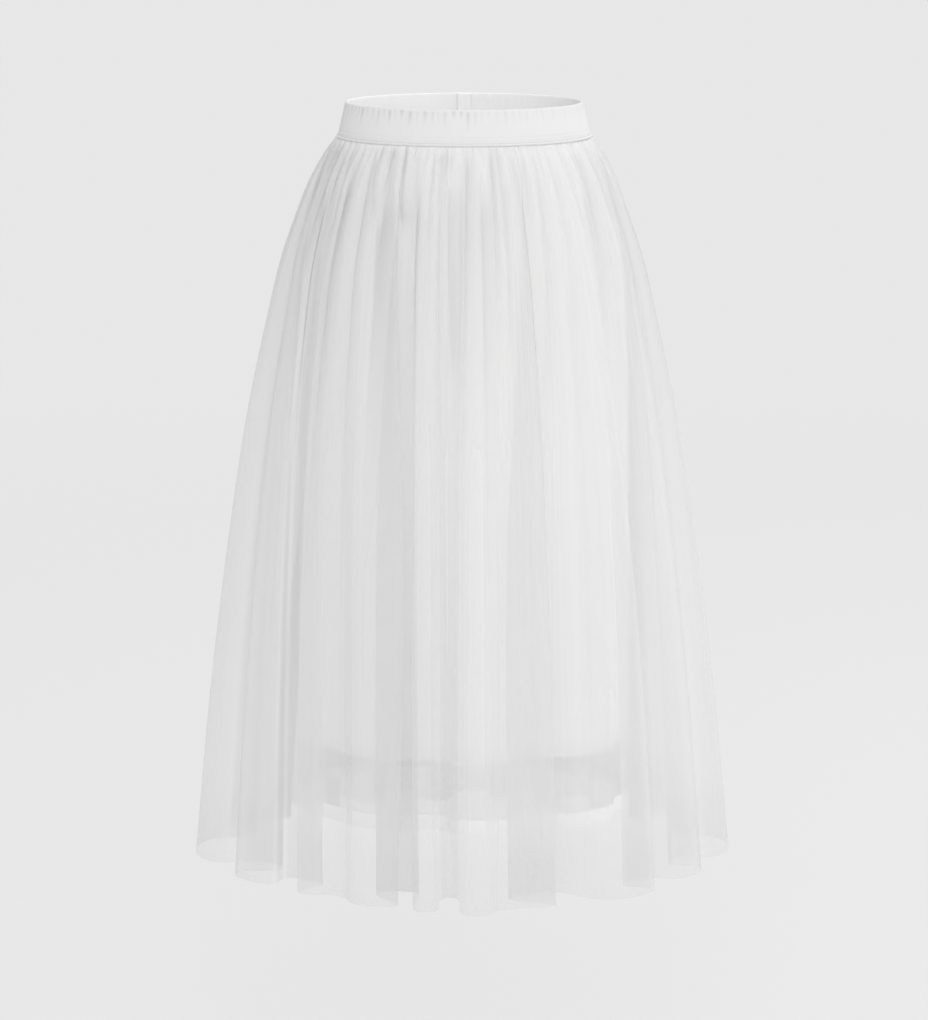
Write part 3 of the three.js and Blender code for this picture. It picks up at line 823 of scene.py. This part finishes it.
# A closed band. Its section runs down the outer face, round the lower edge, up the inner
# face and over the rim, and its ellipse grows evenly from the rim to the lower edge.
def waistbandPiece():
    angle = np.linspace(0, twoPi, waistband["around"], endpoint=False)
    edge, wall = waistband["edge"], waistband["wall"]
    low = cordHigh.z - waistband["lap"]
    bend = np.linspace(0, math.pi, 7)[1:-1]
    outer = np.linspace(bandHigh.z - edge, low + edge, waistband["rows"])
    height = np.concatenate([
        outer, low + edge - edge * np.sin(bend),
        outer[::-1], bandHigh.z - edge + edge * np.sin(bend),
    ])
    inward = np.concatenate([
        0 * outer, wall * (1 - np.cos(bend)) / 2,
        0 * outer + wall, wall * (1 + np.cos(bend)) / 2,
    ])
    a, z = np.meshgrid(angle, height)
    halfWidth, halfDepth = bandHalf(z)
    inner = ease((inward[:, None] / wall - 0.6) / 0.4) + 0 * a
    depth = inward[:, None] + puckerDepth(a, z) * (1 - 0.7 * inner)
    points = np.stack([(halfWidth - depth) * np.sin(a), (depth - halfDepth) * np.cos(a), z], -1)
    around = np.concatenate([angle, [twoPi]])
    across = np.concatenate([[0], np.cumsum(np.hypot(np.diff(height), np.diff(inward)))])
    across = np.concatenate([across, [across[-1] + edge]])
    u, v = np.meshgrid(around * waistband["meanRadius"], across)
    pattern = {"cloth": np.stack([u, v], -1)}
    piece = gridPiece("waistband_knit", points, pattern, knitMaterial, True, True)
    # Shade painted into the puckers on the outer face, and light painted onto the inner face.
    puckered = np.clip(puckerDepth(a, z) / waistband["puckerDepth"], 0, 1)
    addAttribute(piece, "paintedShade", puckered * (1 - inner))
    addAttribute(piece, "inner", inner)
    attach(piece, "root")
    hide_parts("waistband")
    return piece


cord = {
    "beads": 290, "perBead": 5, "around": 12, "outward": 0.0014, "half": 0.0016,
    "squareness": 0.8, "bead": 0.0002, "inset": 0.0012, "meanRadius": 0.118, "thickness": 0.002,
}


# A twisted cord round the seam. Its section is a flattened oval, each half a sine to a power,
# and its strands swell and sink by a cosine that turns as it goes round.
def cordPiece():
    angle = np.linspace(0, twoPi, cord["beads"] * cord["perBead"], endpoint=False)
    turn = -np.linspace(0, twoPi, cord["around"], endpoint=False)
    a, t = np.meshgrid(angle, turn)
    swell = cord["bead"] * np.cos(cord["beads"] * a + t)
    upright = np.sign(np.sin(t)) * np.abs(np.sin(t)) ** cord["squareness"]
    sideways = np.sign(np.cos(t)) * np.abs(np.cos(t)) ** cord["squareness"]
    middle = (cordHigh.z + cordLow.z) / 2
    z = middle + (cord["half"] + swell / 2) * upright
    out = (cord["outward"] + swell) * sideways - cord["outward"] - cord["inset"]
    points = np.stack([(cordHigh.x + out) * np.sin(a), (cordLow.y - out) * np.cos(a), z], -1)
    u, v = np.meshgrid(
        np.concatenate([angle, [twoPi]]) * cord["meanRadius"],
        np.concatenate([turn, [-twoPi]]) * -cord["thickness"],
    )
    pattern = {"cloth": np.stack([u, v], -1)}
    piece = gridPiece("waist_seam_roll", points, pattern, threadMaterial, True, True)
    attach(piece, "root")
    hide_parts("waist_seam_cord")


stitch = {"length": 0.0019, "radius": 0.0002}


# Stitches as one mesh. Each is a slim closed tube between two holes. Its middle line is an
# arch, a parabola, and its thickness is a square root that falls to its ends. Centres,
# directions along the row and directions out of the cloth are arrays, a row a stitch.
def stitches(name, centres, along, out):
    length, radius = stitch["length"], stitch["radius"]
    stations = np.array([-1, -0.8, -0.3, 0.3, 0.8, 1])
    turn = np.linspace(0, twoPi, 6, endpoint=False)
    side = np.cross(out, along)
    thick = radius * np.sqrt(1 - 0.9 * stations ** 2)
    rise = radius * (1.2 * (1 - stations ** 2) - 0.4)
    n, k, m = len(centres), len(stations), len(turn)
    lengthways = (along[:, None] * (stations * length / 2)[None, :, None])[:, :, None]
    upwards = (rise[:, None] + thick[:, None] * np.cos(turn))[None, :, :, None] * out[:, None, None]
    sideways = (thick[:, None] * np.sin(turn))[None, :, :, None] * side[:, None, None]
    points = centres[:, None, None] + lengthways + upwards + sideways
    first = np.arange(n)[:, None, None] * k * m
    i, j = np.meshgrid(np.arange(k - 1), np.arange(m), indexing="ij")
    walls = [i * m + j, i * m + (j + 1) % m, (i + 1) * m + (j + 1) % m, (i + 1) * m + j]
    walls = np.stack([first + w for w in walls], -1).reshape(-1, 4)
    starts = (np.arange(n)[:, None] * k * m + np.arange(m)[::-1]).tolist()
    ends = (np.arange(n)[:, None] * k * m + (k - 1) * m + np.arange(m)).tolist()
    mesh = bpy.data.meshes.new(name)
    mesh.from_pydata(points.reshape(-1, 3).tolist(), [], walls.tolist() + starts + ends)
    mesh.polygons.foreach_set("use_smooth", np.ones(len(mesh.polygons), bool))
    mesh.materials.append(threadMaterial)
    piece = bpy.data.objects.new(name, mesh)
    bpy.context.scene.collection.objects.link(piece)
    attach(piece, "root")


bandStitches = {"rows": (0.0022, 0.0058), "pitch": 0.0027}


# Twin rows of stitches round the foot of the band.
def bandStitchRows():
    around = math.pi * sum(bandHalf(bandLow.z))
    count = int(around / bandStitches["pitch"])
    angle = np.tile(np.arange(count) * twoPi / count, len(bandStitches["rows"]))
    z = cordHigh.z + np.repeat(bandStitches["rows"], count)
    halfWidth, halfDepth = bandHalf(z)
    centres = np.stack([halfWidth * np.sin(angle), -halfDepth * np.cos(angle), z], -1)
    along = np.stack([halfWidth * np.cos(angle), halfDepth * np.sin(angle), 0 * z], -1)
    along /= np.linalg.norm(along, axis=1)[:, None]
    out = np.stack([along[:, 1], -along[:, 0], 0 * z], -1)
    stitches("waistband_stitches", centres, along, out)


backJoin = {
    "thickness": 0.0015, "crown": 0.0009, "cloth": 0.0009, "rows": 30, "columns": 14,
    "stitchSide": 0.0054, "pitch": 0.0026,
}


# How far back the front of the join strip lies at a place across it and a height. The strip
# is crowned: its height over the band's inner face is a square root that falls to its edges.
def joinFace(x, z, half):
    crown = backJoin["crown"] * np.sqrt(np.clip(1 - (x / half) ** 2, 0, 1))
    base = backJoin["thickness"] - backJoin["crown"]
    return bandHalf(z)[1] - waistband["wall"] - base - crown


# The strip over the band's join, inside at the centre back, and its two rows of stitches.
def backJoinPiece():
    low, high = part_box("waistband_back_join")
    half = (high.x - low.x) / 2
    x, z = np.meshgrid(
        np.linspace(-half, half, backJoin["columns"]), np.linspace(high.z, low.z, backJoin["rows"])
    )
    points = np.stack([x, joinFace(x, z, half), z], -1)[:, ::-1]
    pattern = {"cloth": np.stack([x, z], -1)[:, ::-1]}
    piece = gridPiece("back_join_strip", points, pattern, knitMaterial)
    # Light painted onto the strip as on the band's inner face, and shade painted darker at its
    # edges where it meets the band.
    addAttribute(piece, "inner", 1 + 0 * x)
    addAttribute(piece, "paintedShade", 0.5 * (np.abs(x) / half) ** 8)
    thicken(piece, backJoin["cloth"])
    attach(piece, "root")
    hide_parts("waistband_back_join")
    count = int((high.z - low.z) / backJoin["pitch"])
    z = np.tile(low.z + (np.arange(count) + 0.5) * backJoin["pitch"], 2)
    x = np.repeat([-backJoin["stitchSide"], backJoin["stitchSide"]], count)
    centres = np.stack([x, joinFace(x, z, half), z], -1)
    slope = bandHalf(z + 0.5)[1] - bandHalf(z - 0.5)[1]
    along = np.stack([0 * z, slope, 1 + 0 * z], -1)
    along /= np.linalg.norm(along, axis=1)[:, None]
    out = np.stack([0 * z, -along[:, 2], along[:, 1]], -1)
    stitches("back_join_stitches", centres, along, out)


knitBand = waistbandPiece()
cordPiece()
bandStitchRows()
backJoinPiece()
print("waistband made")


studio = {
    "floorDrop": 0.27, "floorReach": 5.5, "floorGlow": 0.632, "floorLight": 0.645,
    "floorGrey": 0.16, "backdrop": 0.8, "ambient": 0.8,
    "fade": (11.0, 21.0),  # middle and width of the floor's fade, in square metres
    "aim": -0.38,  # height that the lamps point at
}
lights = {  # place, power and size
    "key": ((0.3, -3.0, 2.2), 60, 2.2),
    "fill": ((-2.2, -3.0, 0.6), 4, 2.5),
    "side": ((3.2, -0.4, 0.8), 20, 2.2),
    "behind": ((2.2, 2.0, 1.6), 34, 2.2),
}


# A round pale floor, as bright as the backdrop. It clears towards its rim by a smooth step of
# the distance squared.
def floorPiece():
    rings = np.linspace(0.0001, 1, 24)[:, None] * studio["floorReach"]
    angle = np.linspace(0, twoPi, 96, endpoint=False)[None, :]
    z = cadBox[0][2] - studio["floorDrop"]
    points = np.stack([rings * np.cos(angle), rings * np.sin(angle), z + 0 * rings * angle], -1)
    look = Look("pale_floor")
    x, y, _ = look.parts(look.node("ShaderNodeTexCoord", {}, {}, "Object"))
    far = (x * x + y * y).above(*studio["fade"])
    light, seen = (
        look.node("ShaderNodeEmission", {}, {"Color": grey(1), "Strength": studio[strength]})
        for strength in ("floorLight", "floorGlow")
    )
    glow = look.blend(look.node("ShaderNodeLightPath"), light, seen)
    matt = look.node("ShaderNodeBsdfDiffuse", {}, {"Color": grey(studio["floorGrey"])})
    pale = look.node("ShaderNodeAddShader", {}, {0: glow, 1: matt})
    clear = look.node("ShaderNodeBsdfTransparent")
    material = look.finished(look.blend(far, pale, clear))
    gridPiece("floor", points, {}, material, True)


def softLight(name, place, power, size):  # a square lamp that points at the skirt
    data = bpy.data.lights.new(name, "AREA")
    data.shape = "SQUARE"
    data.size = size
    data.energy = power
    lamp = bpy.data.objects.new(name, data)
    bpy.context.scene.collection.objects.link(lamp)
    lamp.location = place
    x, y, z = -place[0], -place[1], studio["aim"] - place[2]
    lamp.rotation_euler = (math.atan2(math.hypot(x, y), -z), 0, math.atan2(y, x) - math.pi / 2)
    lamp.visible_camera = False


def skyLight():  # light from all round, and a pale backdrop
    world = bpy.data.worlds.new("studio")
    bpy.context.scene.world = world
    world.use_nodes = True
    nodes, links = world.node_tree.nodes, world.node_tree.links
    nodes.clear()
    seen = nodes.new("ShaderNodeBackground")
    seen.inputs["Color"].default_value = grey(1)
    seen.inputs["Strength"].default_value = studio["backdrop"]
    lit = nodes.new("ShaderNodeBackground")
    lit.inputs["Color"].default_value = grey(1)
    lit.inputs["Strength"].default_value = studio["ambient"]
    path = nodes.new("ShaderNodeLightPath")
    both = nodes.new("ShaderNodeMixShader")
    out = nodes.new("ShaderNodeOutputWorld")
    links.new(path.outputs["Is Camera Ray"], both.inputs[0])
    links.new(lit.outputs[0], both.inputs[1])
    links.new(seen.outputs[0], both.inputs[2])
    links.new(both.outputs[0], out.inputs[0])


floorPiece()
skyLight()
for lightName, (place, power, size) in lights.items():
    softLight(lightName, place, power, size)

# lens and sensor are in millimetres.
view = {"distance": 4.408, "height": 0.448, "tilt": 0.1928, "lens": 150.2, "sensor": 36}
cameraData = bpy.data.cameras.new("camera")
cameraData.lens = view["lens"]
cameraData.sensor_width = view["sensor"]
camera = bpy.data.objects.new("camera", cameraData)
bpy.context.scene.collection.objects.link(camera)
camera.location = (0, -view["distance"], view["height"])
camera.rotation_euler = (math.pi / 2 - view["tilt"], 0, 0)
bpy.context.scene.camera = camera

scene = bpy.context.scene
scene.view_settings.view_transform = "Standard"
scene.cycles.transparent_max_bounces = 32
scene.cycles.max_bounces = 8
scene.cycles.diffuse_bounces = 6
scene.cycles.use_denoising = True
print("studio made")
